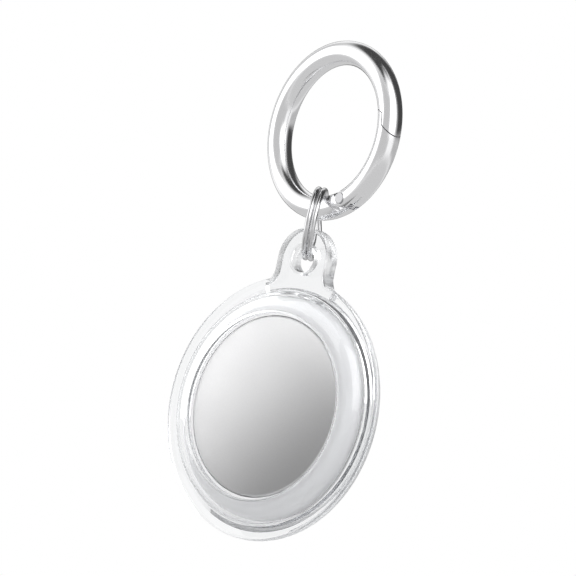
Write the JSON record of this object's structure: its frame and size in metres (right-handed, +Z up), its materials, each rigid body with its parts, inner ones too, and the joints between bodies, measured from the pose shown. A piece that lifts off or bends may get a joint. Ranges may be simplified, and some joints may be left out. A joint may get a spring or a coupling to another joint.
{
  "type": "tracker tag holder",
  "caption": "Clear round holder with a coin tracker tag inside, hung by a small split ring from a polished ring with a sprung gate.",
  "frame": {"origin": "the hang point: the top of the inside of the spring-gate ring", "axes": "+Z up along the hanging chain, -Y out of the front of the holder, +X to the right seen from the front"},
  "size_m": [0.0377, 0.0111, 0.072],
  "materials": {
    "polished_steel": "mirror polished",
    "spring_steel": "drawn wire",
    "clear_plastic": "clear, moulded",
    "white_plastic": "glossy white",
    "satin_steel": "satin, fine grain",
    "inner_plastic": "moulded, matt",
    "cell_steel": "drawn nickel-plated",
    "gasket": "matt",
    "cell_fill": "pressed powder",
    "contact_metal": "plated leaf",
    "aerial_metal": "plated film",
    "board": "solder mask",
    "chip_black": "moulded epoxy",
    "component_metal": "lidded can",
    "component_grey": "fired ceramic",
    "magnet_steel": "nickel plated",
    "coil_copper": "enamelled wire"
  },
  "bodies": {
    "clip": {"clip_ring_body": "polished_steel", "gate_pivot_pin": "polished_steel", "gate_spring": "spring_steel"},
    "gate": {"clip_gate": "polished_steel"},
    "link": {"split_ring": "polished_steel"},
    "case": {"rear_case": "clear_plastic"},
    "bezel": {"front_bezel": "clear_plastic"},
    "tag": {"tag_shell": "white_plastic", "bayonet_ring": "inner_plastic", "cell_can": "cell_steel", "cell_cap": "cell_steel", "cell_gasket": "gasket", "cell_core": "cell_fill", "battery_tray": "inner_plastic", "positive_contacts": "contact_metal", "negative_contact": "contact_metal", "antenna_frame": "inner_plastic", "antenna_strips": "aerial_metal", "circuit_board": "board", "radio_chip": "chip_black", "ranging_chip": "chip_black", "memory_chip": "chip_black", "crystal": "component_metal", "inductor": "component_grey", "capacitors": "component_grey", "speaker_yoke": "magnet_steel", "speaker_magnet": "magnet_steel", "speaker_pole_plate": "magnet_steel", "voice_coil": "coil_copper"},
    "battery_door": {"battery_cover": "satin_steel", "cover_lock_ring": "inner_plastic"}
  },
  "joints": [
    {"name": "gate_swing", "type": "hinge", "parent": "clip", "child": "gate", "pos_m": [0.00571, -0.0008, -0.01907], "axis": [-0.1392, -0.9903, 0], "range_deg": [0, 36], "stiffness_Nm_per_rad": 0.02, "springref_deg": -22.92, "deforming": ["gate_spring"]},
    {"name": "link_swing", "type": "hinge", "parent": "clip", "child": "link", "pos_m": [0, 0, -0.02067], "axis": [0.9903, -0.1392, 0], "range_deg": [-90, 90]},
    {"name": "case_swing", "type": "hinge", "parent": "link", "child": "case", "pos_m": [0, 0, -0.02819], "axis": [0, 1, 0], "range_deg": [-60, 60]},
    {"name": "bezel_pull", "type": "slide", "parent": "case", "child": "bezel", "axis": [0, -1, 0], "range_m": [0, 0.02]},
    {"name": "tag_draw", "type": "slide", "parent": "case", "child": "tag", "axis": [0, -1, 0], "range_m": [0, 0.01]},
    {"name": "door_twist", "type": "hinge", "parent": "tag", "child": "battery_door", "pos_m": [0, -0.0027, -0.04968], "axis": [0, -1, 0], "range_deg": [0, 35]}
  ],
  "couplings": [
    {"joint": "tag_draw", "follows": "bezel_pull", "ratio": 0.5}
  ]
}
